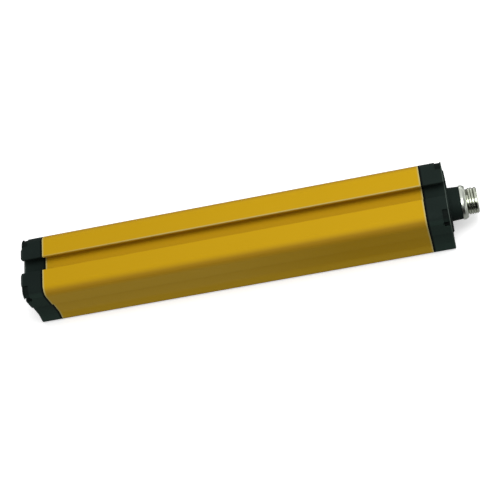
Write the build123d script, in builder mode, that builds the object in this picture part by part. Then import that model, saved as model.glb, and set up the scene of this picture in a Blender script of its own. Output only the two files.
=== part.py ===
from build123d import *
import os

# A safety light curtain bar: an extruded housing with a window along its front, an end cap at each
# end and a threaded connector. All sizes are in millimetres. X runs along the bar towards the
# connector and Y across it. The bar lies on its window side, so Z rises from the window lips to the
# mounting side with its T-slot. The origin is under the middle of the whole length.

os.makedirs("parts", exist_ok=True)

# Beams
beam_count = 6
beam_pitch = 40.0
end_margin = 18.0
profile_length = (beam_count - 1) * beam_pitch + 2 * end_margin

# Outer outline of the housing, from the mounting side down to the window lips
body_depth = 37.0
waist_width = 40.0
back_swell = 0.6
shoulder_swell = 1.1
skirt_swell = 0.7
lip_swell = 2.6
back_width = waist_width + 2 * back_swell
shoulder_width = waist_width + 2 * shoulder_swell
skirt_width = waist_width + 2 * skirt_swell
lip_width = waist_width + 2 * lip_swell
shoulder_height = 20.6
step_drop = 1.0
skirt_height = 7.5
lip_height = 2.6
back_radius = 6.0
step_radius = 0.6
skirt_radius = 8.0
lip_radius = 1.8
wall = 1.8

# T-slot in the mounting side
slot_mouth = 9.0
slot_lip = 1.8
slot_width = 14.0
slot_height = 4.4
slot_edge = 0.3
slot_floor = body_depth - slot_lip - slot_height
slot_underside = slot_floor - wall

# Window, its rubber seals and the grooves that hold them
window_border = 5.6
window_opening = waist_width - 2 * window_border
lip_thickness = 1.2
glass_thickness = 3.0
glass_grip = 0.8
seal_wall = 0.7
ledge_reach = 1.4
ledge_thickness = 1.4
glass_width = window_opening + 2 * glass_grip
groove_width = glass_width + 2 * seal_wall
groove_top = lip_thickness + glass_thickness + 2 * seal_wall
ledge_opening = window_opening - 2 * ledge_reach
cavity_floor = groove_top + ledge_thickness
cavity_width = waist_width - 2 * wall

# Screw ports in the housing and the screws that hold the caps
port_core = 1.25
port_wall = 1.6
port_clearance = 0.2
port_radius = port_core + port_wall
front_screw_y = cavity_width / 2 - port_core
front_screw_z = groove_top + port_radius + port_clearance
back_screw_y = cavity_width / 2 - port_radius + port_clearance
back_screw_z = body_depth - wall - port_radius + 2 * port_clearance
screw_hole_radius = 1.6
screw_head_radius = 2.6
screw_head_height = 2.0
screw_head_round = 0.6
screw_engagement = 8.0
screw_socket = 2.0
screw_socket_depth = 1.2

# End caps
cap_length = 13.6
cap_wall = 3.0
cap_bevel = 0.4
cap_side_wall = 1.6
gasket_thickness = 0.8
gasket_inset = 1.3
pocket_depth = 4.6
pocket_clearance = 0.3
pocket_radius = screw_head_radius + pocket_clearance
notch_width = 2.8
notch_offset = 1.3
plate_rise = 0.8
plate_side = 6.5
plate_width = waist_width - 2 * plate_side
plate_foot = 3.4
plate_radius = 2.5
plate_bevel = 0.5
mouth_round = 2.0
relief_length = 3.2
relief_setback = 0.7
relief_depth = 0.6
relief_height = 8.5

# Main board, its rails and the optics under it
board_thickness = 1.6
board_clearance = 0.1
rail_thickness = 1.2
rail_reach = 1.6
carrier_height = 8.4
board_z = cavity_floor + carrier_height
board_top = board_z + board_thickness
end_clearance = 0.3
board_length = profile_length - 2 * end_clearance
carrier_clearance = 0.3
carrier_width = 2 * (front_screw_y - port_radius - carrier_clearance)
lens_radius = 7.0
lens_rim = 2.0
lens_dome = 1.5
lens_setback = 0.4
lens_clearance = 0.1
tunnel_wide = 6.2
tunnel_narrow = 3.1
hollow_margin = 2.2
hollow_depth = 5.6
diode_base_radius = 2.6
diode_base_height = 0.8
diode_radius = 2.2
diode_height = 4.2
diode_tip_radius = 2.0

# Parts on the upper side of the board
chip_size = 10.0
chip_height = 1.5
chip_pitch = 26.0
chip_x = 88.0
capacitor_radius = 4.0
capacitor_clearance = 2.5
capacitor_height = slot_underside - board_top - capacitor_clearance
capacitor_pitch = 14.0
capacitor_x = 30.0
transistor_size = 6.5
transistor_height = 2.3
transistor_pitch = 12.0
transistor_x = 150.0
header_setback = 16.0
header_length = 6.0
header_width = 13.0
header_height = 6.0
plug_length = 5.0
plug_shrink = 1.0
lamp_size = 2.0
lamp_height = 1.0
lamp_setback = 6.0
lamp_spread = 9.0

# Connector in the right-hand cap
connector_z = 15.5
nose_length = 6.7
nose_radius = 10.2
nose_draft = 3.0
nose_wall = 3.0
nose_bore = 8.8
collar_radius = 10.4
collar_length = 2.6
collar_taper = 1.2
collar_bevel = 0.3
thread_radius = 8.0
thread_length = 7.6
thread_chamfer = 0.5
barrel_bore = 6.4
barrel_depth = 7.4
shank_radius = 6.0
shank_bore = 4.7
shank_clearance = 0.1
shank_tail = 1.0
nut_across_flats = 14.0
nut_thickness = 3.0
insert_flange = 2.0
ring_radius = 8.0
ring_wire = 0.75
pin_count = 5
pin_circle = 3.6
pin_radius = 0.45
pin_reach = 5.0
pin_tail = 1.5
harness_radius = 2.2
harness_bend = 8.0
harness_straight = 1 / 3

# Stations along the bar that several pieces share
cap_reach = cap_length + plate_rise
overall_length = profile_length + 2 * cap_reach + nose_length + collar_length + thread_length
bar_start = cap_reach - overall_length / 2
bar_end = bar_start + profile_length
beam_stations = [bar_start + end_margin + number * beam_pitch for number in range(beam_count)]
start_plane = Plane.YZ.offset(bar_start)
cap_face = bar_end + cap_length
plate_face = cap_face + plate_rise
nose_face = plate_face + nose_length
nose_inside = nose_face - nose_wall
nut_back = nose_inside - nut_thickness
shank_back = nut_back - shank_tail
collar_face = nose_face + collar_length
thread_face = collar_face + thread_length
barrel_floor = thread_face - barrel_depth
insert_face = barrel_floor + insert_flange
insert_back = shank_back - shank_tail


def housing_outline(plane, inset=0.0):
    """Outer outline of the bar on a plane across it, drawn inset from its edge where asked."""

    def convex(radius):
        return max(radius - inset, step_radius)

    top = body_depth - inset
    with BuildSketch(plane) as outline:
        with BuildLine():
            half = FilletPolyline(
                (0, top),
                (back_width / 2 - inset, top),
                (shoulder_width / 2 - inset, shoulder_height),
                (waist_width / 2 - inset, shoulder_height - step_drop),
                (skirt_width / 2 - inset, skirt_height),
                (lip_width / 2 - inset, lip_height),
                (lip_width / 2 - inset, inset),
                (0, inset),
                radius=[
                    convex(back_radius),
                    step_radius,
                    step_radius,
                    skirt_radius,
                    convex(lip_radius),
                    convex(lip_radius),
                ],
            )
            mirror(half, about=Plane.YZ)
        make_face()
    return outline.sketch


def t_slot(plane, margin=0.0):
    """Section of the T-slot, open at the top, or the same with a margin of wall round it."""
    above = body_depth - slot_floor + slot_lip
    half_mouth = slot_mouth / 2 + margin
    with BuildSketch(plane) as slot:
        Polygon(
            (-half_mouth, body_depth - slot_edge),
            (half_mouth, body_depth - slot_edge),
            (half_mouth + slot_edge, body_depth),
            (-half_mouth - slot_edge, body_depth),
            align=None,
        )
        with Locations((0, slot_floor - margin)):
            Rectangle(slot_mouth + 2 * margin, above, align=(Align.CENTER, Align.MIN))
            Rectangle(
                slot_width + 2 * margin, slot_height + 2 * margin, align=(Align.CENTER, Align.MIN)
            )
    return slot.sketch


def cavity(plane):
    """Section of the hollow inside the housing, with its opening over the window."""
    shaft_width = cavity_width / 2 - slot_width / 2 - wall
    with BuildSketch(plane) as hollow:
        with Locations((0, cavity_floor)):
            Rectangle(cavity_width, slot_underside - cavity_floor, align=(Align.CENTER, Align.MIN))
        with Locations((0, groove_top)):
            Rectangle(ledge_opening, ledge_thickness, align=(Align.CENTER, Align.MIN))
        for side in (-1, 1):
            with Locations((side * (cavity_width - shaft_width) / 2, slot_underside)):
                Rectangle(
                    shaft_width, body_depth - wall - slot_underside, align=(Align.CENTER, Align.MIN)
                )
    return hollow.sketch


def window_channel(plane):
    """Section of the front opening and of the grooves behind its lips."""
    with BuildSketch(plane) as channel:
        with Locations((0, -lip_thickness)):
            Rectangle(window_opening, groove_top + lip_thickness, align=(Align.CENTER, Align.MIN))
        with Locations((0, lip_thickness)):
            Rectangle(groove_width, groove_top - lip_thickness, align=(Align.CENTER, Align.MIN))
    return channel.sketch


def rails(plane):
    """Section of the four ribs inside the side walls that hold the edges of the board."""
    with BuildSketch(plane) as ribs:
        for side in (-1, 1):
            for height in (board_z - rail_thickness, board_top + board_clearance):
                with Locations((side * (cavity_width - rail_reach) / 2, height)):
                    Rectangle(rail_reach, rail_thickness, align=(Align.CENTER, Align.MIN))
    return ribs.sketch


def screw_circles(plane, radius):
    """Circles at the four screw positions of an end."""
    with BuildSketch(plane) as circles:
        with Locations(
            (front_screw_y, front_screw_z),
            (-front_screw_y, front_screw_z),
            (back_screw_y, back_screw_z),
            (-back_screw_y, back_screw_z),
        ):
            Circle(radius)
    return circles.sketch


def pocket_notches(plane):
    """Slots that open the front screw pockets to the front and the back ones to the sides."""
    with BuildSketch(plane) as notches:
        for side in (-1, 1):
            with Locations((side * front_screw_y, front_screw_z)):
                Rectangle(notch_width, body_depth, align=(Align.CENTER, Align.MAX))
            outward = Align.MIN if side > 0 else Align.MAX
            with Locations((side * back_screw_y, back_screw_z - notch_offset)):
                Rectangle(lip_width, notch_width, align=(outward, Align.CENTER))
    return notches.sketch


def end_plate(plane):
    """Raised plate in the middle of a cap's end face, up to the mounting side."""
    with BuildSketch(plane) as plate:
        with Locations((0, plate_foot)):
            Rectangle(
                plate_width, body_depth - cap_bevel - plate_foot, align=(Align.CENTER, Align.MIN)
            )
        fillet(plate.vertices(), plate_radius)
    return plate.sketch


def corner_reliefs(plane):
    """Shallow band round each of the two corners on the mounting side."""
    with BuildSketch(plane) as band:
        for side in (-1, 1):
            outward = Align.MIN if side > 0 else Align.MAX
            with Locations((side * plate_width / 2, body_depth - relief_height)):
                Rectangle(lip_width, lip_width, align=(outward, Align.MIN))
        add(housing_outline(Plane.XY, relief_depth), mode=Mode.SUBTRACT)
    return band.sketch


def mouth_corners(end_x, side):
    """What rounding takes off the two corners where the slot leaves a cap."""
    with BuildSketch(Plane.XY.offset(body_depth - slot_lip)) as corners:
        for hand in (-1, 1):
            lengthwise = Align.MAX if side > 0 else Align.MIN
            outward = Align.MIN if hand > 0 else Align.MAX
            with Locations((end_x, hand * slot_mouth / 2)):
                Rectangle(mouth_round, mouth_round, align=(lengthwise, outward))
            with Locations((end_x - side * mouth_round, hand * (slot_mouth / 2 + mouth_round))):
                Circle(mouth_round, mode=Mode.SUBTRACT)
    return corners.sketch


def cap_hollow(plane):
    """Section of the hollow in a cap, between its screws and under the slot."""
    width = 2 * (front_screw_y - port_radius - cap_side_wall)
    with BuildSketch(plane) as hollow:
        with Locations((0, groove_top)):
            Rectangle(width, slot_underside - groove_top, align=(Align.CENTER, Align.MIN))
        fillet(hollow.vertices(), cap_side_wall)
    return hollow.sketch


def gasket_ring(plane):
    """Section of the flat gasket between a cap and the housing."""
    with BuildSketch(plane) as ring:
        add(housing_outline(Plane.XY, gasket_inset))
        add(t_slot(Plane.XY, wall), mode=Mode.SUBTRACT)
        add(cap_hollow(Plane.XY), mode=Mode.SUBTRACT)
        add(screw_circles(Plane.XY, screw_hole_radius), mode=Mode.SUBTRACT)
    return ring.sketch


def shape_cap(cap, joint_x, side):
    """Work an end cap outwards from its joint with the housing, without its connector nose."""
    joint_plane = Plane.YZ.offset(joint_x)
    end_plane = Plane.YZ.offset(joint_x + side * cap_length)
    inwards = -side * pocket_depth
    extrude(housing_outline(joint_plane), amount=side * cap_length)
    end_face = cap.faces().sort_by(Axis.X)[-1 if side > 0 else 0]
    chamfer(end_face.edges(), cap_bevel)
    extrude(end_plate(end_plane), amount=side * plate_rise)
    extrude(screw_circles(end_plane, pocket_radius), amount=inwards, mode=Mode.SUBTRACT)
    extrude(screw_circles(end_plane, pocket_radius), amount=-inwards, mode=Mode.SUBTRACT)
    extrude(pocket_notches(end_plane), amount=inwards, mode=Mode.SUBTRACT)
    extrude(
        screw_circles(joint_plane, screw_hole_radius), amount=side * cap_length, mode=Mode.SUBTRACT
    )
    extrude(t_slot(joint_plane), amount=side * (cap_length + plate_rise), mode=Mode.SUBTRACT)
    plate_front = cap.faces().sort_by(Axis.X)[-1 if side > 0 else 0]
    chamfer(plate_front.edges(), plate_bevel)
    slot_end = joint_x + side * (cap_length + plate_rise)
    extrude(mouth_corners(slot_end, side), amount=slot_lip, mode=Mode.SUBTRACT)
    relief_plane = end_plane.offset(-side * relief_setback)
    extrude(corner_reliefs(relief_plane), amount=-side * relief_length, mode=Mode.SUBTRACT)
    extrude(cap_hollow(joint_plane), amount=side * (cap_length - cap_wall), mode=Mode.SUBTRACT)
    extrude(gasket_ring(joint_plane), amount=side * gasket_thickness, mode=Mode.SUBTRACT)


def finish(builder, name):
    """Label a finished piece and write it out."""
    builder.part.label = name
    export_step(builder.part, f"parts/{name}.step")


# Housing: one aluminium extrusion
with BuildPart() as housing_profile:
    extrude(housing_outline(start_plane), amount=profile_length)
    extrude(t_slot(start_plane), amount=profile_length, mode=Mode.SUBTRACT)
    extrude(window_channel(start_plane), amount=profile_length, mode=Mode.SUBTRACT)
    extrude(cavity(start_plane), amount=profile_length, mode=Mode.SUBTRACT)
    extrude(rails(start_plane), amount=profile_length)
    extrude(screw_circles(start_plane, port_radius), amount=profile_length)
    extrude(screw_circles(start_plane, port_core), amount=profile_length, mode=Mode.SUBTRACT)
finish(housing_profile, "housing_profile")

# Window: a dark infrared-pass pane
with BuildPart() as front_window:
    with BuildSketch(start_plane):
        with Locations((0, lip_thickness + seal_wall)):
            Rectangle(glass_width, glass_thickness, align=(Align.CENTER, Align.MIN))
    extrude(amount=profile_length)
finish(front_window, "front_window")

# Seals: a rubber channel along each long edge of the window
for side, name in ((-1, "window_seal_right"), (1, "window_seal_left")):
    towards_middle = Align.MAX if side > 0 else Align.MIN
    with BuildPart() as window_seal:
        with BuildSketch(start_plane):
            with Locations((side * groove_width / 2, lip_thickness)):
                Rectangle(
                    glass_grip + seal_wall, groove_top - lip_thickness, align=(towards_middle, Align.MIN)
                )
            with Locations((side * glass_width / 2, lip_thickness + seal_wall)):
                Rectangle(
                    glass_grip, glass_thickness, align=(towards_middle, Align.MIN), mode=Mode.SUBTRACT
                )
        extrude(amount=profile_length)
    finish(window_seal, name)

# End caps: black mouldings
with BuildPart() as plain_end_cap:
    shape_cap(plain_end_cap, bar_start, -1)
finish(plain_end_cap, "plain_end_cap")

with BuildPart() as connector_end_cap:
    shape_cap(connector_end_cap, bar_end, 1)
    with BuildSketch(Plane.YZ.offset(cap_face)):
        with Locations((0, connector_z)):
            Circle(nose_radius)
    extrude(amount=plate_rise)
    with BuildSketch(Plane.YZ.offset(plate_face)):
        with Locations((0, connector_z)):
            Circle(nose_radius)
    extrude(amount=nose_length, taper=nose_draft)
    with BuildSketch(Plane.YZ.offset(cap_face - cap_wall)):
        with Locations((0, connector_z)):
            Circle(nose_bore)
    extrude(amount=nose_inside - cap_face + cap_wall, mode=Mode.SUBTRACT)
    with BuildSketch(Plane.YZ.offset(nose_inside)):
        with Locations((0, connector_z)):
            Circle(shank_radius + shank_clearance)
    extrude(amount=nose_wall, mode=Mode.SUBTRACT)
finish(connector_end_cap, "connector_end_cap")

# Gaskets between the caps and the housing
for name, joint_x, side in (
    ("plain_end_gasket", bar_start, -1),
    ("connector_end_gasket", bar_end, 1),
):
    with BuildPart() as gasket:
        extrude(gasket_ring(Plane.YZ.offset(joint_x)), amount=side * gasket_thickness)
    finish(gasket, name)

# Cap screws, four alike at each end
for name, joint_x, side in (
    ("plain_end_screws", bar_start, -1),
    ("connector_end_screws", bar_end, 1),
):
    seat = Plane.YZ.offset(joint_x + side * (cap_length - pocket_depth))
    crown = Plane.YZ.offset(joint_x + side * (cap_length - pocket_depth + screw_head_height))
    shank_length = cap_length - pocket_depth + screw_engagement
    with BuildPart() as screws:
        extrude(screw_circles(seat, screw_head_radius), amount=side * screw_head_height)
        crowns = screws.faces().filter_by(Axis.X).group_by(Axis.X)[-1 if side > 0 else 0]
        chamfer(crowns.edges(), screw_head_round)
        extrude(screw_circles(seat, port_core), amount=-side * shank_length)
        extrude(
            screw_circles(crown, screw_socket / 2),
            amount=-side * screw_socket_depth,
            mode=Mode.SUBTRACT,
        )
    finish(screws, name)

# Optics carrier: a black moulding with a light tunnel for each beam
with BuildPart() as optics_carrier:
    with Locations((bar_start + end_clearance, 0, cavity_floor)):
        Box(board_length, carrier_width, carrier_height, align=(Align.MIN, Align.CENTER, Align.MIN))
    seat_depth = lens_setback + lens_rim
    for station in beam_stations:
        with BuildSketch(Plane.XY.offset(cavity_floor)):
            with Locations((station, 0)):
                Circle(lens_radius + lens_clearance)
        extrude(amount=seat_depth, mode=Mode.SUBTRACT)
        with Locations((station, 0, cavity_floor + seat_depth)):
            Cone(
                tunnel_wide,
                tunnel_narrow,
                carrier_height - seat_depth,
                align=(Align.CENTER, Align.CENTER, Align.MIN),
                mode=Mode.SUBTRACT,
            )
    hollow_length = beam_pitch - 2 * (lens_radius + hollow_margin)
    with BuildSketch(Plane.XY.offset(cavity_floor)):
        for station in beam_stations[:-1]:
            with Locations((station + beam_pitch / 2, 0)):
                Rectangle(hollow_length, carrier_width - 2 * hollow_margin)
    extrude(amount=hollow_depth, mode=Mode.SUBTRACT)
    with BuildSketch(Plane.XY.offset(cavity_floor)):
        with Locations((bar_end - lamp_setback, 0)):
            Rectangle(2 * lamp_size, lamp_spread + 2 * lamp_size)
    extrude(amount=carrier_height, mode=Mode.SUBTRACT)
finish(optics_carrier, "optics_carrier")

# Lenses and diodes, one of each for every beam
for number, station in enumerate(beam_stations, start=1):
    lens_floor = cavity_floor + lens_setback
    with BuildPart() as lens:
        with BuildSketch(Plane.XZ):
            with BuildLine():
                Polyline(
                    (station, lens_floor + lens_rim + lens_dome),
                    (station, lens_floor),
                    (station + lens_radius, lens_floor),
                    (station + lens_radius, lens_floor + lens_rim),
                    (station + tunnel_wide, lens_floor + lens_rim),
                )
                RadiusArc(
                    (station + tunnel_wide, lens_floor + lens_rim),
                    (station, lens_floor + lens_rim + lens_dome),
                    radius=-(tunnel_wide**2 + lens_dome**2) / (2 * lens_dome),
                )
            make_face()
        revolve(axis=Axis((station, 0, 0), (0, 0, 1)))
    finish(lens, f"lens_{number}")

    with BuildPart() as diode:
        with BuildSketch(Plane.XY.offset(board_z)):
            with Locations((station, 0)):
                Circle(diode_base_radius)
        extrude(amount=-diode_base_height)
        with BuildSketch(Plane.XY.offset(board_z - diode_base_height)):
            with Locations((station, 0)):
                Circle(diode_radius)
        extrude(amount=diode_base_height - diode_height)
        tip = diode.faces().sort_by(Axis.Z)[0]
        fillet(tip.edges(), diode_tip_radius)
    finish(diode, f"diode_{number}")

# Main board, held by its edges between the rails
with BuildPart() as main_board:
    with Locations((bar_start + end_clearance, 0, board_z)):
        Box(
            board_length,
            cavity_width - 2 * board_clearance,
            board_thickness,
            align=(Align.MIN, Align.CENTER, Align.MIN),
        )
finish(main_board, "main_board")

# Two controllers that check each other, and the two output transistors
for number in (1, 2):
    with BuildPart() as control_chip:
        with Locations((bar_start + chip_x + (number - 1) * chip_pitch, 0, board_top)):
            Box(chip_size, chip_size, chip_height, align=(Align.CENTER, Align.CENTER, Align.MIN))
    finish(control_chip, f"control_chip_{number}")

    with BuildPart() as output_transistor:
        with Locations((bar_start + transistor_x + (number - 1) * transistor_pitch, 0, board_top)):
            Box(
                transistor_size,
                transistor_size,
                transistor_height,
                align=(Align.CENTER, Align.CENTER, Align.MIN),
            )
    finish(output_transistor, f"output_transistor_{number}")

    with BuildPart() as supply_capacitor:
        with BuildSketch(Plane.XY.offset(board_top)):
            with Locations((bar_start + capacitor_x + (number - 1) * capacitor_pitch, 0)):
                Circle(capacitor_radius)
        extrude(amount=capacitor_height)
    finish(supply_capacitor, f"supply_capacitor_{number}")

# Status lamps, seen through the window at the connector end
for colour, side in (("green", -1), ("red", 1)):
    with BuildPart() as status_lamp:
        with Locations((bar_end - lamp_setback, side * lamp_spread / 2, board_z)):
            Box(lamp_size, lamp_size, lamp_height, align=(Align.CENTER, Align.CENTER, Align.MAX))
    finish(status_lamp, f"status_lamp_{colour}")

# Board header and the harness plug in it
header_x = bar_end - header_setback
plug_face = header_x + header_length + plug_length
harness_z = board_top + header_height / 2

with BuildPart() as board_header:
    with Locations((header_x, 0, board_top)):
        Box(header_length, header_width, header_height, align=(Align.MIN, Align.CENTER, Align.MIN))
finish(board_header, "board_header")

with BuildPart() as harness_plug:
    with Locations((header_x + header_length, 0, harness_z)):
        Box(
            plug_length,
            header_width - plug_shrink,
            header_height - plug_shrink,
            align=(Align.MIN, Align.CENTER, Align.CENTER),
        )
finish(harness_plug, "harness_plug")

# Connector: a turned shell with its collar outside the nose and its shank through it
with BuildPart() as connector_shell:
    with BuildSketch(Plane.XZ):
        with BuildLine():
            Polyline(
                (shank_back, connector_z + shank_bore),
                (shank_back, connector_z + shank_radius),
                (nose_face, connector_z + shank_radius),
                (nose_face, connector_z + ring_radius - ring_wire),
                (nose_face + 2 * ring_wire, connector_z + ring_radius - ring_wire),
                (nose_face + 2 * ring_wire, connector_z + ring_radius + ring_wire),
                (nose_face, connector_z + ring_radius + ring_wire),
                (nose_face, connector_z + collar_radius - collar_bevel),
                (nose_face + collar_bevel, connector_z + collar_radius),
                (collar_face - collar_taper, connector_z + collar_radius),
                (collar_face, connector_z + collar_radius - collar_taper),
                (collar_face, connector_z + thread_radius),
                (thread_face - thread_chamfer, connector_z + thread_radius),
                (thread_face, connector_z + thread_radius - thread_chamfer),
                (thread_face, connector_z + barrel_bore),
                (barrel_floor, connector_z + barrel_bore),
                (barrel_floor, connector_z + shank_bore),
                close=True,
            )
        make_face()
    revolve(axis=Axis((0, 0, connector_z), (1, 0, 0)))
finish(connector_shell, "connector_shell")

# O-ring in the collar, against the nose
with BuildPart() as connector_o_ring:
    with BuildSketch(Plane.XZ):
        with Locations((nose_face + ring_wire, connector_z + ring_radius)):
            Circle(ring_wire)
    revolve(axis=Axis((0, 0, connector_z), (1, 0, 0)))
finish(connector_o_ring, "connector_o_ring")

# Lock nut on the shank, inside the nose
with BuildPart() as connector_lock_nut:
    with BuildSketch(Plane.YZ.offset(nut_back)):
        with Locations((0, connector_z)):
            RegularPolygon(nut_across_flats / 2, 6, major_radius=False)
            Circle(shank_radius, mode=Mode.SUBTRACT)
    extrude(amount=nut_thickness)
finish(connector_lock_nut, "connector_lock_nut")

# Insert that carries the contact pins
with BuildPart() as connector_insert:
    with BuildSketch(Plane.YZ.offset(insert_back)):
        with Locations((0, connector_z)):
            Circle(shank_bore)
    extrude(amount=barrel_floor - insert_back)
    with BuildSketch(Plane.YZ.offset(barrel_floor)):
        with Locations((0, connector_z)):
            Circle(barrel_bore)
    extrude(amount=insert_flange)
    with BuildSketch(Plane.YZ.offset(insert_back)):
        with Locations((0, connector_z)):
            with PolarLocations(pin_circle, pin_count, start_angle=90):
                Circle(pin_radius)
    extrude(amount=insert_face - insert_back, mode=Mode.SUBTRACT)
finish(connector_insert, "connector_insert")

with BuildPart() as contact_pins:
    pin_back = insert_back - pin_tail
    with BuildSketch(Plane.YZ.offset(pin_back)):
        with Locations((0, connector_z)):
            with PolarLocations(pin_circle, pin_count, start_angle=90):
                Circle(pin_radius)
    extrude(amount=insert_face + pin_reach - pin_back)
finish(contact_pins, "contact_pins")

# Harness from the solder side of the connector to the plug on the board
with BuildPart() as signal_harness:
    fall = harness_straight * (pin_back - plug_face)
    with BuildLine() as route:
        FilletPolyline(
            (plug_face, 0, harness_z),
            (plug_face + fall, 0, harness_z),
            (pin_back - fall, 0, connector_z),
            (pin_back, 0, connector_z),
            radius=harness_bend,
        )
    with BuildSketch(Plane(origin=(plug_face, 0, harness_z), z_dir=(1, 0, 0))):
        Circle(harness_radius)
    sweep(path=route.wires()[0])
finish(signal_harness, "signal_harness")
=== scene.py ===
# %% [markdown]
# # A safety light curtain bar in Blender
# The bar's construction comes from its CAD model: the yellow extrusion, the caps, the window and all
# that is inside. This lesson dresses those solids. It gives each surface its finish, and models the
# few pieces whose fine form the CAD model leaves plain, such as the connector's thread.

# %% Load the bar
import bpy
import math
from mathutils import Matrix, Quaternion, Vector


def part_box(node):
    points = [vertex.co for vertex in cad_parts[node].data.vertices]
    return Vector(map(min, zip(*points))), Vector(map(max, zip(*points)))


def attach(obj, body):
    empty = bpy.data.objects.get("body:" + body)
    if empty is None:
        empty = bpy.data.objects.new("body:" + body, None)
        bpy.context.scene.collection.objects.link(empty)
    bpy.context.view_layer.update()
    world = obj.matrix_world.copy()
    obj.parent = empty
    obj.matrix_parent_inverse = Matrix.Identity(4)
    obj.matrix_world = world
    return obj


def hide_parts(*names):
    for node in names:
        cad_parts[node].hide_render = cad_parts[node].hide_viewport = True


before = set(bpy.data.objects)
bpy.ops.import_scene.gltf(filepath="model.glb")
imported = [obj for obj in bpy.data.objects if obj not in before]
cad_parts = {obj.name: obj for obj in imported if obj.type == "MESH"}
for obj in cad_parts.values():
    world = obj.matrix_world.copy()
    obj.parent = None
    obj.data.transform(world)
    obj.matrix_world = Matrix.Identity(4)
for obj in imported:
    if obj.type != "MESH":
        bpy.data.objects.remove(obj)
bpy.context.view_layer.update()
bpy.ops.object.select_all(action="DESELECT")
mm = 0.001
print("CAD nodes:", len(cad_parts))

# %% [markdown]
# Colours are easiest to judge as they look on a screen, but shaders add up light, which needs the
# linear value. One small helper turns the first into the second.


# %% Colours
def screen(red, green, blue):
    """Linear colour of an on-screen colour given in 0 to 255."""

    def linear(value):
        value = value / 255
        return value / 12.92 if value <= 0.04045 else ((value + 0.055) / 1.055) ** 2.4

    return (linear(red), linear(green), linear(blue), 1.0)


# %% [markdown]
# The camera looks down on the bar from above and in front of its connector end, with a long lens and
# turned about its own axis, so that the bar climbs to the right across the picture. Its place was
# worked out from where the two ends of the yellow extrusion lie in the picture.

# %% Camera
camera_spot = Vector((0.13596, -0.38007, 0.73978))
camera_aim = Vector((0.00046, -0.00717, 0.01808))
camera_roll = math.radians(-28.03)
camera_lens = 97.1
camera_film = 36

camera = bpy.data.objects.new("camera", bpy.data.cameras.new("camera"))
bpy.context.scene.collection.objects.link(camera)
camera.location = camera_spot
camera.rotation_mode = "QUATERNION"
level = (camera_aim - camera_spot).to_track_quat("-Z", "Y")
camera.rotation_quaternion = level @ Quaternion((0, 0, 1), camera_roll)
camera.data.lens = camera_lens
camera.data.sensor_width = camera_film
bpy.context.scene.camera = camera
print("camera lens", round(camera.data.lens, 1), "mm")

# %% [markdown]
# The stage is a plain white floor and a white world. White paper would throw much light back on the
# bar's sides, so both are white only to what sees them directly: the camera, and the rays that gloss
# and glass send out. To all other light the floor is a mid grey and the world a softer fill, which
# keeps the bar's sides darker than its top and leaves its shadow on the floor.


# %% Rays that see the white room
def direct_ray(nodes, links):
    """1 for rays from the camera, gloss or glass, and 0 for the light on matt surfaces."""
    path = nodes.new("ShaderNodeLightPath")
    seen = path.outputs["Is Camera Ray"]
    for kind in ("Is Glossy Ray", "Is Transmission Ray"):
        either = nodes.new("ShaderNodeMath")
        either.operation = "MAXIMUM"
        links.new(seen, either.inputs[0])
        links.new(path.outputs[kind], either.inputs[1])
        seen = either.outputs[0]
    return seen


# %% [markdown]
# The floor is one large plane with a matt paper on it. It lies a hair below the bar, so that the two
# share no face.

# %% Floor
floor_size = 6.0
floor_drop = 0.1 * mm
floor_seen = screen(252, 252, 252)
floor_bounce = (0.24, 0.24, 0.24, 1.0)
floor_glow = 0.45

bpy.ops.mesh.primitive_plane_add(size=floor_size, location=(0, 0, -floor_drop))
floor = bpy.context.object
floor.name = "floor"
floor_paper = bpy.data.materials.new("floor_paper")
floor_paper.use_nodes = True
floor.data.materials.append(floor_paper)
nodes, links = floor_paper.node_tree.nodes, floor_paper.node_tree.links
paper = nodes["Principled BSDF"]
paper.inputs["Roughness"].default_value = 1.0
paper.inputs["Specular IOR Level"].default_value = 0.0
seen = direct_ray(nodes, links)
tone = nodes.new("ShaderNodeMix")
tone.data_type = "RGBA"
tone.inputs["A"].default_value = floor_bounce
tone.inputs["B"].default_value = floor_seen
links.new(seen, tone.inputs["Factor"])
links.new(tone.outputs["Result"], paper.inputs["Base Color"])
paper.inputs["Emission Color"].default_value = (1, 1, 1, 1)
glow = nodes.new("ShaderNodeMath")
glow.operation = "MULTIPLY"
glow.inputs[1].default_value = floor_glow
links.new(seen, glow.inputs[0])
links.new(glow.outputs[0], paper.inputs["Emission Strength"])
print("stage:", floor.name)

# %% World
world_fill = 0.52

world = bpy.data.worlds.new("white_room")
bpy.context.scene.world = world
world.use_nodes = True
nodes, links = world.node_tree.nodes, world.node_tree.links
sky = nodes["Background"]
sky.inputs["Color"].default_value = (1, 1, 1, 1)
strength = nodes.new("ShaderNodeMapRange")
strength.inputs["To Min"].default_value = world_fill
strength.inputs["To Max"].default_value = 1.0
links.new(direct_ray(nodes, links), strength.inputs["Value"])
links.new(strength.outputs["Result"], sky.inputs["Strength"])
print("world:", world.name)

# %% [markdown]
# One broad lamp hangs over the bar, a little behind it and towards its connector end. It is as large
# as a photographer's soft box, so the shadow in the slot has a soft edge.

# %% Key light
key_size = 0.8
key_spot = Vector((0.3, 0.16, 1.3))
key_power = 8.6

key = bpy.data.objects.new("key_light", bpy.data.lights.new("key_light", "AREA"))
bpy.context.scene.collection.objects.link(key)
key.data.shape = "SQUARE"
key.data.size = key_size
key.data.energy = key_power
key.location = key_spot
key.visible_glossy = False
key.rotation_mode = "QUATERNION"
key.rotation_quaternion = (camera_aim - key_spot).to_track_quat("-Z", "Y")
bpy.context.scene.view_settings.view_transform = "Standard"
print("lamp:", key.name)

# %% [markdown]
# Bright metal shows what stands round it, and in an all-white room it would look white too. Cards
# that only reflections see do what a photographer's cards do. A black one in front, and a black sheet
# on the floor below it, draw the dark band along the connector. A white one near the camera gives it
# its highlight. Greys behind it, past its end and on the floor under it keep the rest of the metal
# grey. The cards face the connector, and the sheets lie between the floor and the bar.

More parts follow.
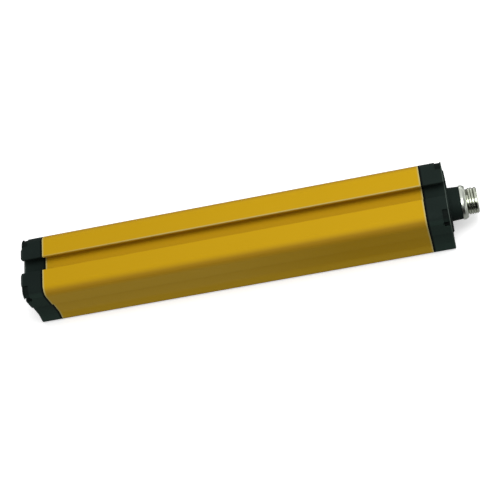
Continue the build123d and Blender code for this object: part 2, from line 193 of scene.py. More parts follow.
# %% Cards
sheet_height = -floor_drop / 2
connector_spot = Vector((0.137, 0, 0.0155))
# name: (place, width and height, glow)
cards = {
    "black_card": (Vector((0.12, -0.2, 0.092)), (0.6, 0.22), 0.0),
    "white_card": (Vector((0.281, -0.3, 0.743)), (0.8, 0.32), 3.2),
    "end_card": (Vector((0.95, -0.25, 0.45)), (0.9, 0.8), 0.15),
    "back_card": (Vector((0.14, 0.344, 0.507)), (1.6, 1.43), 0.58),
    "corner_card": (Vector((0.75, 0.45, 0.3)), (0.7, 0.6), 0.3),
    "front_sheet": (Vector((0.0, -0.147, sheet_height)), (0.6, 0.2), 0.0),
    "under_sheet": (Vector((0.0, 0.053, sheet_height)), (0.6, 0.2), 0.25),
}
for name, (spot, size, glow) in cards.items():
    bpy.ops.mesh.primitive_plane_add(size=1, location=spot)
    card = bpy.context.object
    card.name = name
    card.scale = (size[0], size[1], 1.0)
    if name.endswith("_card"):
        card.rotation_mode = "QUATERNION"
        card.rotation_quaternion = (connector_spot - spot).to_track_quat("Z", "Y")
    card.visible_camera = False
    card.visible_diffuse = False
    card.visible_shadow = False
    card.visible_transmission = False
    cloth = bpy.data.materials.new(name)
    cloth.use_nodes = True
    surface = cloth.node_tree.nodes["Principled BSDF"]
    surface.inputs["Base Color"].default_value = (0, 0, 0, 1)
    surface.inputs["Specular IOR Level"].default_value = 0.0
    surface.inputs["Emission Color"].default_value = (1, 1, 1, 1)
    surface.inputs["Emission Strength"].default_value = glow
    card.data.materials.append(cloth)
bpy.ops.object.select_all(action="DESELECT")
print("cards:", list(cards))

# %% [markdown]
# Every finish below is a node material that reads the object's own coordinates, so a pattern stays
# put on the piece. This helper starts one: it sets the plain shader values and hands back what the
# next lines need to add grain and tone. A noise has its scale in cells per metre, so 1500 is a grain
# of two thirds of a millimetre. Soft noise mostly stays between 0.3 and 0.7, and a mottle spreads
# that stretch over the roughness wanted.


# %% Start of a finish
noise_low = 0.3
noise_high = 0.7


class Finish:
    """A node material with helpers for the few patterns this bar needs."""

    def __init__(self, name, colour, roughness, metallic=0.0, specular=0.5):
        self.material = bpy.data.materials.new(name)
        self.material.use_nodes = True
        self.nodes = self.material.node_tree.nodes
        self.links = self.material.node_tree.links
        self.shader = self.nodes["Principled BSDF"]
        self.shader.inputs["Base Color"].default_value = colour
        self.shader.inputs["Roughness"].default_value = roughness
        self.shader.inputs["Metallic"].default_value = metallic
        self.shader.inputs["Specular IOR Level"].default_value = specular
        self.place = self.nodes.new("ShaderNodeTexCoord").outputs["Object"]

    def feed(self, socket, value):
        """Give a socket another socket's output, or a plain value."""
        if hasattr(value, "is_linked"):
            self.links.new(value, socket)
        else:
            socket.default_value = value

    def stretched(self, scale):
        """Object coordinates scaled apart along the three axes."""
        mapping = self.nodes.new("ShaderNodeMapping")
        mapping.inputs["Scale"].default_value = scale
        self.links.new(self.place, mapping.inputs["Vector"])
        return mapping.outputs["Vector"]

    def noise(self, scale, detail=2.0, vector=None):
        """Soft noise, with a scale in cells per metre."""
        texture = self.nodes.new("ShaderNodeTexNoise")
        texture.inputs["Scale"].default_value = scale
        texture.inputs["Detail"].default_value = detail
        self.links.new(vector or self.place, texture.inputs["Vector"])
        return texture.outputs["Fac"]

    def mottle(self, scale, detail, smooth, dull):
        """Roughness that wanders between two values, as soft noise does."""
        return self.remap(self.noise(scale, detail), noise_low, noise_high, smooth, dull)

    def remap(self, value, low, high, to_low=0.0, to_high=1.0):
        """The value's stretch from low to high, spread over another range."""
        spread = self.nodes.new("ShaderNodeMapRange")
        spread.inputs["From Min"].default_value = low
        spread.inputs["From Max"].default_value = high
        spread.inputs["To Min"].default_value = to_low
        spread.inputs["To Max"].default_value = to_high
        self.links.new(value, spread.inputs["Value"])
        return spread.outputs["Result"]

    def math(self, operation, first, second=0.0):
        """One math node, on sockets or numbers."""
        node = self.nodes.new("ShaderNodeMath")
        node.operation = operation
        self.feed(node.inputs[0], first)
        self.feed(node.inputs[1], second)
        return node.outputs[0]

    def times(self, first, second):
        return self.math("MULTIPLY", first, second)

    def plus(self, first, second):
        return self.math("ADD", first, second)

    def larger(self, first, second):
        return self.math("MAXIMUM", first, second)

    def above(self, value, limit):
        return self.math("GREATER_THAN", value, limit)

    def below(self, value, limit):
        return self.math("LESS_THAN", value, limit)

    def axis(self, name):
        """One of the object's coordinates."""
        if not hasattr(self, "split"):
            self.split = self.nodes.new("ShaderNodeSeparateXYZ")
            self.links.new(self.place, self.split.inputs[0])
        return self.split.outputs[name]

    def outwards(self):
        """Distance from the bar's middle plane, the same on both sides."""
        return self.math("ABSOLUTE", self.axis("Y"))

    def near(self, value, centre, reach, core=0.0):
        """1 within a core round a centre, falling to 0 at a reach from it."""
        away = self.math("ABSOLUTE", self.math("SUBTRACT", value, centre))
        return self.remap(away, core, reach, 1.0, 0.0)

    def within(self, value, low, high):
        """1 between two values and 0 outside them."""
        return self.times(self.above(value, low), self.below(value, high))

    def mix(self, factor, first, second):
        """Blend of two colours, each a socket or a value."""
        node = self.nodes.new("ShaderNodeMix")
        node.data_type = "RGBA"
        self.links.new(factor, node.inputs["Factor"])
        self.feed(node.inputs["A"], first)
        self.feed(node.inputs["B"], second)
        return node.outputs["Result"]

    def tint(self, colour):
        self.links.new(colour, self.shader.inputs["Base Color"])

    def bump(self, height, distance, strength=1.0):
        """Raise the surface by a height pattern, over the bumps added before it."""
        node = self.nodes.new("ShaderNodeBump")
        node.inputs["Strength"].default_value = strength
        node.inputs["Distance"].default_value = distance
        self.links.new(height, node.inputs["Height"])
        if self.shader.inputs["Normal"].is_linked:
            self.links.new(self.shader.inputs["Normal"].links[0].from_socket, node.inputs["Normal"])
        self.links.new(node.outputs["Normal"], self.shader.inputs["Normal"])

    def rough(self, value):
        self.links.new(value, self.shader.inputs["Roughness"])


def wear(name, finish):
    """Put a finish on a CAD node."""
    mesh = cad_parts[name].data
    mesh.materials.clear()
    mesh.materials.append(finish.material)


# %% [markdown]
# The housing is powder coated. From a step away it is one warm yellow, and close up the coat has a
# fine orange-peel grain over faint lines that the extrusion die left along the bar. Its tone drifts a
# little in large clouds and along the bar. The sides carry a painted grey sheen, a paler and greyer
# yellow than the top, with less of it towards the connector. Painted shade darkens them down at the
# foot. All places on the bar are found from the coordinates.

# %% Tones of the coat
coat_deep = screen(197, 154, 6)
coat_light = screen(207, 163, 10)
coat_side_sheen = screen(207, 167, 50)
coat_side_sheen_far = screen(195, 153, 26)
coat_foot_shade = screen(193, 154, 34)
coat_shoulder_shade = screen(178, 136, 26)
coat_groove_shade = screen(196, 152, 14)
coat_sawn_edge_and_lip_highlight = screen(202, 191, 126)

# %% Yellow coat
housing_low, housing_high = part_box("housing_profile")
cloud_share = 0.5
along_share = 0.6
tone_low = 0.15
tone_high = 0.85
far_from = 0.45
far_full = 0.8
side_from = 19.0 * mm
side_full = 20.2 * mm
foot_height = 6.0 * mm
foot_fade = 8.5 * mm

yellow_coat = Finish("yellow_coat", coat_deep, roughness=0.55, specular=0.08)
cloud = yellow_coat.noise(14.0, detail=3.0)
along = yellow_coat.remap(yellow_coat.axis("X"), housing_low[0], housing_high[0])
tone = yellow_coat.plus(
    yellow_coat.times(cloud, cloud_share), yellow_coat.times(along, along_share)
)
body = yellow_coat.mix(yellow_coat.remap(tone, tone_low, tone_high), coat_deep, coat_light)
# Painted grey sheen on the sides, with less of it towards the connector.
flank = yellow_coat.mix(yellow_coat.remap(along, far_from, far_full), coat_side_sheen, coat_side_sheen_far)
# Painted shade at the foot of the sides.
foot = yellow_coat.remap(yellow_coat.axis("Z"), foot_height, foot_fade, 1.0, 0.0)
flank = yellow_coat.mix(foot, flank, coat_foot_shade)
outwards = yellow_coat.outwards()
body = yellow_coat.mix(yellow_coat.remap(outwards, side_from, side_full), body, flank)

# %% [markdown]
# The rounded shoulder gets painted shade, a darker yellow than the flat beside it. The coat inside the
# slot gets painted shade as well.

# %% Painted shade on the shoulder and in the groove
round_top = 36.9 * mm
round_upper = 35.4 * mm
round_lower = 33.8 * mm
round_foot = 30.9 * mm
groove_half = 7.1 * mm
groove_edge = 0.4 * mm

upper = yellow_coat.remap(yellow_coat.axis("Z"), round_top, round_upper)
lower = yellow_coat.remap(yellow_coat.axis("Z"), round_foot, round_lower)
outer = yellow_coat.above(outwards, 2 * groove_half)
# Painted shade on the rounded shoulder.
shoulder = yellow_coat.times(outer, yellow_coat.times(upper, lower))
body = yellow_coat.mix(shoulder, body, coat_shoulder_shade)
# Painted shade inside the slot.
groove_side = yellow_coat.below(outwards, groove_half)
groove_top = yellow_coat.below(yellow_coat.axis("Z"), housing_high[2] - groove_edge)
body = yellow_coat.mix(yellow_coat.times(groove_side, groove_top), body, coat_groove_shade)

# %% [markdown]
# Where the bar was sawn, the edge is thin and pale. Along the slot's lip on its far side, the side
# that faces the lamp, a pale line is a painted highlight, which fades towards the plain end.

# %% Pale sawn edges and the painted lip highlight
lit_lip = 4.65 * mm
lip_reach = 0.7 * mm
lip_fade_end = 0.3
lip_faintest = 0.35
sawn_reach = 1.1 * mm

start_edge = yellow_coat.near(yellow_coat.axis("X"), housing_low[0], sawn_reach)
finish_edge = yellow_coat.near(yellow_coat.axis("X"), housing_high[0], sawn_reach)
# The far lip's pale line is a painted highlight.
lip_side = yellow_coat.near(yellow_coat.axis("Y"), lit_lip, lip_reach)
lip_top = yellow_coat.near(yellow_coat.axis("Z"), housing_high[2], lip_reach)
lip_fade = yellow_coat.remap(along, 0.0, lip_fade_end, lip_faintest, 1.0)
lip = yellow_coat.times(yellow_coat.times(lip_side, lip_top), lip_fade)
sawn = yellow_coat.larger(start_edge, finish_edge)
yellow_coat.tint(yellow_coat.mix(yellow_coat.larger(sawn, lip), body, coat_sawn_edge_and_lip_highlight))

# %% Grain of the coat
die_pull = (0.01, 1.0, 1.0)
coat_smooth = 0.48
coat_dull = 0.6

yellow_coat.bump(yellow_coat.noise(1500.0, detail=2.0), distance=0.05 * mm, strength=0.35)
die_lines = yellow_coat.noise(900.0, detail=1.0, vector=yellow_coat.stretched(die_pull))
yellow_coat.bump(die_lines, distance=0.03 * mm, strength=0.25)
yellow_coat.rough(yellow_coat.mottle(700.0, detail=2.0, smooth=coat_smooth, dull=coat_dull))
wear("housing_profile", yellow_coat)
print("housing coated, edges at", [round(v, 4) for v in (housing_low[0], housing_high[0])])

# %% [markdown]
# The caps are black mouldings from a mould with a spark-eroded face, which leaves a fine even grain.
# Black plastic in soft light isn't pure black: it shows a slightly green grey, a little darker towards
# the plain end. The sides get painted light, a paler grey than the top.

# %% Black moulding
moulding_dark = screen(20, 30, 27)
moulding_light = screen(29, 40, 36)
moulding_side_light = screen(44, 60, 53)
patch_low = 0.35
patch_high = 0.7
patch_gain = 0.4
along_gain = 0.6
side_light_from = 18.5 * mm
side_light_full = 20.5 * mm

black_moulding = Finish("black_moulding", moulding_dark, roughness=0.65, specular=0.08)
patches = black_moulding.noise(60.0, detail=4.0)
patches = black_moulding.remap(patches, patch_low, patch_high, 0.0, patch_gain)
along = black_moulding.remap(
    black_moulding.axis("X"), housing_low[0], housing_high[0], 0.0, along_gain
)
patches = black_moulding.plus(patches, along)
skin = black_moulding.mix(patches, moulding_dark, moulding_light)
outwards = black_moulding.outwards()
# Painted light on the cap sides, a paler grey than the top.
skin = black_moulding.mix(
    black_moulding.remap(outwards, side_light_from, side_light_full), skin, moulding_side_light
)

# %% [markdown]
# Each cap has a bevel round its end, which carries a painted highlight, and a relief cut into its
# upper corners, which carries painted shade almost to black, lifted in the relief's middle. Both are
# found by how far a point lies beyond the joint with the housing, and that joint is dark too.

# %% Painted bevel highlight, painted relief shade, and joints
moulding_bevel_highlight = screen(84, 94, 88)
relief_shade = screen(14, 22, 19)
joint_dark = screen(2, 4, 4)
joint_core = 0.7 * mm
joint_reach = 1.7 * mm
cap_length = 13.6 * mm
cap_bevel = 0.4 * mm
face_margin = 0.02 * mm
relief_setback = 0.7 * mm
relief_length = 3.2 * mm
relief_inner = 13.5 * mm
relief_foot = 28.5 * mm
relief_lift = 33.2 * mm
relief_lift_core = 1.2 * mm
relief_lift_reach = 2.4 * mm
relief_left = 0.3

bevels, reliefs, joints = [], [], []
for joint_x, side in ((housing_low[0], -1), (housing_high[0], 1)):
    beyond = black_moulding.math("SUBTRACT", black_moulding.axis("X"), joint_x + side * cap_length)
    beyond = black_moulding.times(beyond, side)
    bevels.append(black_moulding.within(beyond, -cap_bevel, -face_margin))
    reliefs.append(black_moulding.within(beyond, -relief_setback - relief_length, -relief_setback))
    joints.append(black_moulding.near(black_moulding.axis("X"), joint_x, joint_reach, joint_core))
aside = black_moulding.above(outwards, relief_inner)
high_up = black_moulding.above(black_moulding.axis("Z"), relief_foot)
# Painted shade in the relief, lifted in its middle band.
relief = black_moulding.times(black_moulding.times(aside, high_up), black_moulding.larger(*reliefs))
relief_lifted = black_moulding.near(
    black_moulding.axis("Z"), relief_lift, relief_lift_reach, relief_lift_core
)
relief = black_moulding.times(relief, black_moulding.remap(relief_lifted, 0.0, 1.0, 1.0, relief_left))
# Painted highlight on the bevel round the cap's end.
skin = black_moulding.mix(black_moulding.larger(*bevels), skin, moulding_bevel_highlight)
skin = black_moulding.mix(relief, skin, relief_shade)
black_moulding.tint(black_moulding.mix(black_moulding.larger(*joints), skin, joint_dark))

# %% Grain of the moulding
moulding_smooth = 0.58
moulding_dull = 0.72

black_moulding.bump(black_moulding.noise(2200.0, detail=3.0), distance=0.04 * mm, strength=0.6)
black_moulding.bump(black_moulding.noise(260.0, detail=2.0), distance=0.10 * mm, strength=0.25)
skin_roughness = black_moulding.mottle(
    900.0, detail=2.0, smooth=moulding_smooth, dull=moulding_dull
)
black_moulding.rough(skin_roughness)
for name in ("plain_end_cap", "connector_end_cap", "optics_carrier"):
    wear(name, black_moulding)
print("caps and carrier in black moulding")

# %% [markdown]
# The window is a dyed sheet that passes infrared light and looks black. It is polished, so it needs a
# low roughness with only a trace of unevenness. The seals beside it are matt rubber.

# %% Window and rubber
dark_window = Finish("dark_window", screen(24, 29, 28), roughness=0.08, specular=0.5)
dark_window.tint(
    dark_window.mix(dark_window.noise(9.0, detail=2.0), screen(21, 26, 26), screen(30, 35, 34))
)
dark_window.bump(dark_window.noise(120.0, detail=1.0), distance=0.02 * mm, strength=0.1)
dark_window.rough(dark_window.mottle(40.0, detail=3.0, smooth=0.06, dull=0.12))
wear("front_window", dark_window)

seal_rubber = Finish("seal_rubber", screen(30, 30, 30), roughness=0.8, specular=0.3)
seal_rubber.tint(seal_rubber.mix(seal_rubber.noise(200.0), screen(24, 24, 24), screen(38, 38, 37)))
seal_rubber.bump(seal_rubber.noise(1800.0, detail=3.0), distance=0.05 * mm, strength=0.5)
for name in (
    "window_seal_left",
    "window_seal_right",
    "plain_end_gasket",
    "connector_end_gasket",
    "connector_o_ring",
):
    wear(name, seal_rubber)
print("window and rubber done")

# %% [markdown]
# Metals come in three kinds here: satin nickel on the connector, bright zinc on the screws, and gold
# on the contacts. Each is a metallic shader with fine turning lines or a mottle, because a perfectly
# even metal looks like plastic. On the connector the collar is more satin than the barrel and carries
# a painted highlight, a brighter plating colour. The root of the thread gets painted shade, a darker
# colour. Both are found by their distance from the connector's axis.

# %% Connector metal
shell_low, shell_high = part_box("connector_shell")
connector_height = (shell_low[2] + shell_high[2]) / 2
nickel = screen(231, 237, 217)
nickel_dark = screen(225, 232, 212)
nickel_light = screen(239, 243, 227)
collar_highlight = screen(247, 253, 240)
thread_root_shade = screen(118, 122, 109)
collar_low = 8.3 * mm
collar_high = 8.9 * mm
collar_satin = 0.12
root_shade_low = 7.4 * mm
root_shade_high = 7.7 * mm
rim_length = 1.9 * mm
thread_reach = 6.7 * mm
lathe_lines = (1.0, 0.02, 0.02)

nickel_plate = Finish("nickel_plate", nickel, roughness=0.22, metallic=1.0)
plating = nickel_plate.mix(nickel_plate.noise(300.0, detail=2.0), nickel_dark, nickel_light)
across = nickel_plate.axis("Y")
over = nickel_plate.math("SUBTRACT", nickel_plate.axis("Z"), connector_height)
squares = nickel_plate.plus(nickel_plate.times(across, across), nickel_plate.times(over, over))
radius = nickel_plate.math("SQRT", squares)
collar = nickel_plate.remap(radius, collar_low, collar_high)
# Painted highlight on the collar, a brighter plating colour.
plating = nickel_plate.mix(collar, plating, collar_highlight)
# Painted shade in the root of the thread.
sunk = nickel_plate.remap(radius, root_shade_low, root_shade_high, 1.0, 0.0)
threaded = nickel_plate.within(
    nickel_plate.axis("X"), shell_high[0] - thread_reach, shell_high[0] - rim_length
)
root_shade = nickel_plate.times(sunk, threaded)
nickel_plate.tint(nickel_plate.mix(root_shade, plating, thread_root_shade))
turning = nickel_plate.noise(2600.0, detail=1.0, vector=nickel_plate.stretched(lathe_lines))
nickel_plate.bump(turning, distance=0.004 * mm, strength=0.3)
barrel = nickel_plate.mottle(500.0, detail=2.0, smooth=0.17, dull=0.26)
satin = nickel_plate.times(collar, collar_satin)
nickel_plate.rough(nickel_plate.plus(barrel, satin))
wear("connector_lock_nut", nickel_plate)

# %% Screws and contacts
screw_steel = Finish("screw_steel", screen(168, 172, 172), roughness=0.34, metallic=1.0)
screw_steel.tint(
    screw_steel.mix(screw_steel.noise(700.0, detail=3.0), screen(140, 145, 146), screen(190, 193, 192))
)
screw_steel.bump(screw_steel.noise(2500.0, detail=2.0), distance=0.02 * mm, strength=0.4)

gold_plate = Finish("gold_plate", screen(226, 182, 92), roughness=0.28, metallic=1.0)
gold_plate.tint(gold_plate.mix(gold_plate.noise(900.0), screen(214, 168, 78), screen(236, 196, 112)))
gold_plate.bump(gold_plate.noise(3000.0), distance=0.01 * mm, strength=0.3)
print("metals done")

# %% [markdown]
# The parts inside are seen only when the bar is taken apart, but they get real finishes too: a green
# board with paler tracks raised under its coat, black chips, clear lenses and white nylon plugs.

# %% Parts inside
along_board = (1.0, 6.0, 1.0)
track_low = 0.47
track_high = 0.53

board_green = Finish("board_green", screen(24, 92, 52), roughness=0.3, specular=0.5)
tracks = board_green.noise(90.0, detail=0.0, vector=board_green.stretched(along_board))
tracks = board_green.remap(tracks, track_low, track_high)
board_green.tint(board_green.mix(tracks, screen(20, 82, 46), screen(44, 120, 70)))
board_green.bump(tracks, distance=0.03 * mm, strength=0.4)
wear("main_board", board_green)

# name: (dark tone, light tone, roughness, metallic)
plain_kinds = {
    "chip_black": (screen(30, 31, 33), screen(42, 43, 45), 0.6, 0.0),
    "insert_plastic": (screen(34, 35, 35), screen(46, 47, 46), 0.55, 0.0),
    "diode_resin": (screen(40, 30, 44), screen(54, 42, 58), 0.12, 0.0),
    "capacitor_can": (screen(176, 178, 180), screen(205, 206, 208), 0.3, 1.0),
    "header_plastic": (screen(222, 218, 204), screen(236, 232, 220), 0.5, 0.0),
    "lamp_green": (screen(70, 150, 84), screen(96, 176, 104), 0.25, 0.0),
    "lamp_red": (screen(176, 48, 40), screen(200, 70, 58), 0.25, 0.0),
    "harness_sleeve": (screen(28, 28, 30), screen(44, 44, 46), 0.65, 0.0),
}
plain = {}
for name, (dark, light, roughness, metallic) in plain_kinds.items():
    plain[name] = Finish(name, dark, roughness, metallic)
    plain[name].tint(plain[name].mix(plain[name].noise(400.0, detail=3.0), dark, light))
    plain[name].bump(plain[name].noise(1800.0, detail=2.0), distance=0.03 * mm, strength=0.4)

clear_lens = Finish("clear_lens", screen(240, 246, 246), roughness=0.04)
clear_lens.shader.inputs["Transmission Weight"].default_value = 0.95
clear_lens.shader.inputs["IOR"].default_value = 1.49
clear_lens.bump(clear_lens.noise(60.0), distance=0.01 * mm, strength=0.1)

inside = {
    "control_chip_1": "chip_black",
    "control_chip_2": "chip_black",
    "output_transistor_1": "chip_black",
    "output_transistor_2": "chip_black",
    "supply_capacitor_1": "capacitor_can",
    "supply_capacitor_2": "capacitor_can",
    "status_lamp_green": "lamp_green",
    "status_lamp_red": "lamp_red",
    "board_header": "header_plastic",
    "harness_plug": "header_plastic",
    "signal_harness": "harness_sleeve",
    "connector_insert": "insert_plastic",
}
for name, kind in inside.items():
    wear(name, plain[kind])
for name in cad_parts:
    if name.startswith("lens_"):
        wear(name, clear_lens)
    elif name.startswith("diode_"):
        wear(name, plain["diode_resin"])
print("inside parts:", len(inside), "and the optics")

# %% [markdown]
# The connector's shell is a turned part, so it is made as on a lathe: a circle of edges is stretched
# along the axis and set to each radius in turn, outside from the collar to the rim, then back down
# the bore. The collar tapers towards the barrel, and the barrel ends in a plain rim with a bevel.
# The thread is a ridge with a flat, rounded crest, wound round the barrel between them by a Screw
# modifier. Both together replace the plain shell.


# %% Turning helper
def turned(name, axis_height, stations, sides=96):
    """A closed turned shell through stations of (x, radius), worked along X."""
    first_x, first_radius = stations[0]
    bpy.ops.mesh.primitive_circle_add(
        vertices=sides,
        radius=first_radius,
        location=(first_x, 0, axis_height),
        rotation=(0, math.pi / 2, 0),
    )
    piece = bpy.context.object
    piece.name = name
    bpy.ops.object.transform_apply(location=False, rotation=True, scale=True)
    bpy.ops.object.mode_set(mode="EDIT")
    bpy.ops.mesh.select_all(action="SELECT")
    last_x, last_radius = first_x, first_radius
    for x, radius in stations[1:] + stations[:1]:
        bpy.ops.mesh.extrude_region_move(TRANSFORM_OT_translate={"value": (x - last_x, 0, 0)})
        factor = radius / last_radius
        bpy.ops.transform.resize(value=(1, factor, factor), center_override=(x, 0, axis_height))
        last_x, last_radius = x, radius
    bpy.ops.mesh.select_all(action="SELECT")
    bpy.ops.mesh.remove_doubles(threshold=0.001 * mm)
    bpy.ops.mesh.normals_make_consistent(inside=False)
    bpy.ops.object.mode_set(mode="OBJECT")
    bpy.ops.object.transform_apply(location=True, rotation=True, scale=True)
    bpy.ops.object.shade_smooth_by_angle(angle=math.radians(35))
    bpy.ops.object.select_all(action="DESELECT")
    print(name, "turned with", len(piece.data.polygons), "faces")
    return piece


# %% Connector shell
thread_face = shell_high[0]
collar_radius = (shell_high[2] - shell_low[2]) / 2
shell_reach = 10.2 * mm
collar_length = 3.4 * mm
nose_face = thread_face - shell_reach
collar_face = nose_face + collar_length
crest = 8.0 * mm
root = 7.4 * mm
bore = 6.4 * mm
bore_depth = 7.4 * mm
shank = 6.0 * mm
shank_bore = 4.7 * mm
soft_edge = 0.25 * mm
collar_taper = 2.0 * mm
collar_fall = 1.2 * mm
taper_drop = 0.1 * mm
rim_run_up = 0.2 * mm
rim_bevel = 0.8 * mm
rim_drop = 0.15 * mm

shell = turned(
    "connector_shell_turned",
    connector_height,
    [
        (shell_low[0], shank_bore),
        (shell_low[0], shank),
        (nose_face, shank),
        (nose_face, collar_radius - soft_edge),
        (nose_face + soft_edge, collar_radius),
        (collar_face - collar_taper, collar_radius),
        (collar_face - collar_taper + soft_edge, collar_radius - taper_drop),
        (collar_face - soft_edge, collar_radius - collar_fall + soft_edge),
        (collar_face, collar_radius - collar_fall - soft_edge),
        (collar_face, root),
        (thread_face - rim_length, root),
        (thread_face - rim_length + rim_run_up, crest - rim_drop),
        (thread_face - rim_bevel, crest - rim_drop),
        (thread_face, crest - rim_drop - rim_bevel),
        (thread_face, bore + soft_edge),
        (thread_face - soft_edge, bore),
        (thread_face - bore_depth, bore),
        (thread_face - bore_depth, shank_bore),
    ],
)

# %% Connector thread
thread_pitch = 1.5 * mm
thread_turns = 2.6
thread_steps = 72
thread_gap = 0.75 * mm
thread_start = collar_face + thread_gap
tooth_foot = 1.4 * mm
crest_share = 0.6
crest_round = 0.14 * mm

bpy.ops.mesh.primitive_plane_add(
    size=1, location=(thread_start, 0, connector_height), rotation=(math.pi / 2, 0, 0)
)
thread = bpy.context.object
thread.name = "connector_thread_ridge"
thread.scale = (tooth_foot, crest - root, 1)
bpy.ops.object.transform_apply(location=False, rotation=True, scale=True)
bpy.ops.object.mode_set(mode="EDIT")
bpy.ops.mesh.select_mode(type="VERT")
bpy.ops.mesh.select_all(action="DESELECT")
bpy.ops.object.mode_set(mode="OBJECT")
for vertex in thread.data.vertices:
    vertex.select = vertex.co.z > 0
bpy.ops.object.mode_set(mode="EDIT")
bpy.ops.transform.resize(
    value=(crest_share, 1, 1), center_override=(thread_start, 0, connector_height)
)
bpy.ops.mesh.bevel(offset=crest_round, segments=3, affect="VERTICES")
bpy.ops.mesh.select_all(action="SELECT")
bpy.ops.transform.translate(value=(0, 0, (root + crest) / 2))
bpy.ops.mesh.delete(type="ONLY_FACE")
bpy.ops.object.mode_set(mode="OBJECT")
winding = thread.modifiers.new("winding", "SCREW")
winding.axis = "X"
winding.angle = math.tau * thread_turns
winding.screw_offset = thread_pitch * thread_turns
winding.steps = int(thread_steps * thread_turns)
winding.render_steps = winding.steps
bpy.ops.object.modifier_apply(modifier="winding")
bpy.ops.object.mode_set(mode="EDIT")
bpy.ops.mesh.select_all(action="SELECT")
bpy.ops.mesh.fill_holes(sides=12)
bpy.ops.mesh.select_all(action="SELECT")
bpy.ops.mesh.normals_make_consistent(inside=False)
bpy.ops.object.mode_set(mode="OBJECT")
bpy.ops.object.transform_apply(location=True, rotation=True, scale=True)
bpy.ops.object.shade_smooth_by_angle(angle=math.radians(30))
bpy.ops.object.select_all(action="DESELECT")
print("thread ridge:", len(thread.data.polygons), "faces")

for piece in (shell, thread):
    piece.data.materials.append(nickel_plate.material)
    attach(piece, "root")
    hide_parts("connector_shell")

# %% [markdown]
# The caps are held by pan-head screws, sunk in pockets at the four corners of each end. A screw is
# modelled once: a short cylinder with a rounded crown, and a cross recess cut by two crossed bars.
# Its copies go to the eight places, with the shank behind each head. Each was driven home to its own
# turn, so the crosses don't stand alike.

# %% Cap screws
head_radius = 2.6 * mm
head_height = 2.0 * mm
crown_round = 0.7 * mm
recess_long = 2.9 * mm
recess_wide = 0.75 * mm
recess_deep = 1.2 * mm
end_facing = 0.9
shank_radius = 1.25 * mm
screw_low, screw_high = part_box("plain_end_screws")
screw_length = screw_high[0] - screw_low[0]

bpy.ops.mesh.primitive_cylinder_add(
    vertices=48, radius=head_radius, depth=head_height, location=(0, 0, -head_height / 2)
)
screw = bpy.context.object
screw.name = "cap_screw"
bpy.ops.object.mode_set(mode="EDIT")
bpy.ops.mesh.select_mode(type="FACE")
bpy.ops.mesh.select_all(action="DESELECT")
bpy.ops.object.mode_set(mode="OBJECT")
for face in screw.data.polygons:
    face.select = face.normal.z > end_facing
bpy.ops.object.mode_set(mode="EDIT")
bpy.ops.mesh.bevel(offset=crown_round, segments=5)
bpy.ops.mesh.select_all(action="DESELECT")
bpy.ops.object.mode_set(mode="OBJECT")
for face in screw.data.polygons:
    face.select = face.normal.z < -end_facing
bpy.ops.object.mode_set(mode="EDIT")
bpy.ops.mesh.inset(thickness=head_radius - shank_radius)
shank_run = (0, 0, head_height - screw_length)
bpy.ops.mesh.extrude_region_move(TRANSFORM_OT_translate={"value": shank_run})
bpy.ops.object.mode_set(mode="OBJECT")
bpy.ops.object.transform_apply(location=True, rotation=True, scale=True)

for turn in (0, math.pi / 2):
    bpy.ops.mesh.primitive_cube_add(size=1, location=(0, 0, 0), rotation=(0, 0, turn))
    cutter = bpy.context.object
    cutter.scale = (recess_long, recess_wide, 2 * recess_deep)
    bpy.ops.object.transform_apply(location=True, rotation=True, scale=True)
    bpy.ops.object.select_all(action="DESELECT")
    screw.select_set(True)
    bpy.context.view_layer.objects.active = screw
    cut = screw.modifiers.new("cross", "BOOLEAN")
    cut.operation = "DIFFERENCE"
    cut.object = cutter
    bpy.ops.object.modifier_apply(modifier="cross")
    bpy.data.objects.remove(cutter)
bpy.ops.object.shade_smooth_by_angle(angle=math.radians(30))
bpy.ops.object.select_all(action="DESELECT")
print("one cap screw:", len(screw.data.polygons), "faces")


# %% Eight screws in their pockets
front_screw = (16.95 * mm, 8.65 * mm)
back_screw = (15.55 * mm, 32.75 * mm)
first_spin = 0.7
row_spin = 1.3
hand_spin = 0.6

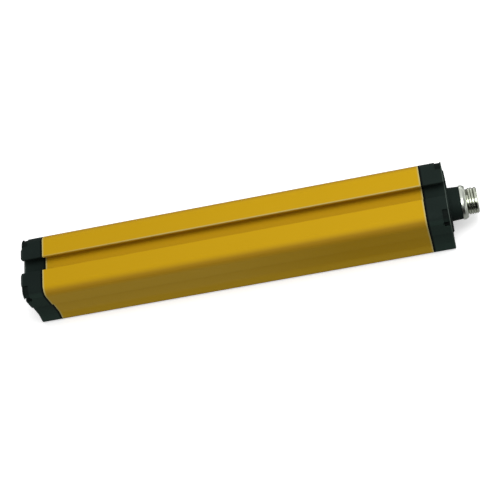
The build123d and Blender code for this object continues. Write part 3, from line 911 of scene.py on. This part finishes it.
for end, side in (("plain_end", -1), ("connector_end", 1)):
    low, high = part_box(end + "_screws")
    crown = high[0] if side > 0 else low[0]
    copies = []
    for row, (across, height) in enumerate((front_screw, back_screw)):
        for hand in (-1, 1):
            copy = screw.copy()
            copy.data = screw.data.copy()
            bpy.context.scene.collection.objects.link(copy)
            copy.rotation_mode = "QUATERNION"
            lay = Quaternion((0, 1, 0), side * math.pi / 2)
            spin = first_spin + row_spin * row + hand_spin * hand
            copy.rotation_quaternion = lay @ Quaternion((0, 0, 1), spin)
            copy.location = (crown, hand * across, height)
            copies.append(copy)
    for copy in copies:
        copy.select_set(True)
    bpy.context.view_layer.objects.active = copies[0]
    bpy.ops.object.join()
    joined = bpy.context.object
    joined.name = end + "_cap_screws"
    bpy.ops.object.transform_apply(location=True, rotation=True, scale=True)
    bpy.ops.object.select_all(action="DESELECT")
    joined.data.materials.clear()
    joined.data.materials.append(screw_steel.material)
    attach(joined, "root")
    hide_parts(end + "_screws")
    print(joined.name, "with", len(joined.data.polygons), "faces")
bpy.data.objects.remove(screw)

# %% [markdown]
# Five contact pins stand in the connector. Each is a thin gold-plated rod with a rounded tip, set on
# the same circle as the holes of the insert.

# %% Contact pins
pin_count = 5
pin_radius = 0.45 * mm
pin_circle = 3.6 * mm
pin_low, pin_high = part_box("contact_pins")
pin_length = pin_high[0] - pin_low[0]
pin_middle = (pin_low[0] + pin_high[0]) / 2
tip_round = 0.8 * pin_radius
tip_start = pin_high[0] - pin_radius

pins = []
for number in range(pin_count):
    angle = math.pi / 2 + math.tau * number / pin_count
    place = (
        pin_middle,
        pin_circle * math.cos(angle),
        connector_height + pin_circle * math.sin(angle),
    )
    bpy.ops.mesh.primitive_cylinder_add(
        vertices=32, radius=pin_radius, depth=pin_length, location=place
    )
    pin = bpy.context.object
    pin.rotation_euler = (0, math.pi / 2, 0)
    bpy.ops.object.transform_apply(location=True, rotation=True, scale=True)
    for face in pin.data.polygons:
        face.select = face.normal.x > end_facing
    for edge in pin.data.edges:
        edge.select = all(pin.data.vertices[end].co.x > tip_start for end in edge.vertices)
    bpy.ops.object.mode_set(mode="EDIT")
    bpy.ops.mesh.bevel(offset=tip_round, segments=5)
    bpy.ops.object.mode_set(mode="OBJECT")
    bpy.ops.object.shade_smooth_by_angle(angle=math.radians(30))
    bpy.ops.object.select_all(action="DESELECT")
    pins.append(pin)
for pin in pins:
    pin.select_set(True)
bpy.context.view_layer.objects.active = pins[0]
bpy.ops.object.join()
contacts = bpy.context.object
contacts.name = "contact_pins_rounded"
bpy.ops.object.select_all(action="DESELECT")
contacts.data.materials.clear()
contacts.data.materials.append(gold_plate.material)
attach(contacts, "root")
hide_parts("contact_pins")
print(contacts.name, "with", len(contacts.data.polygons), "faces")
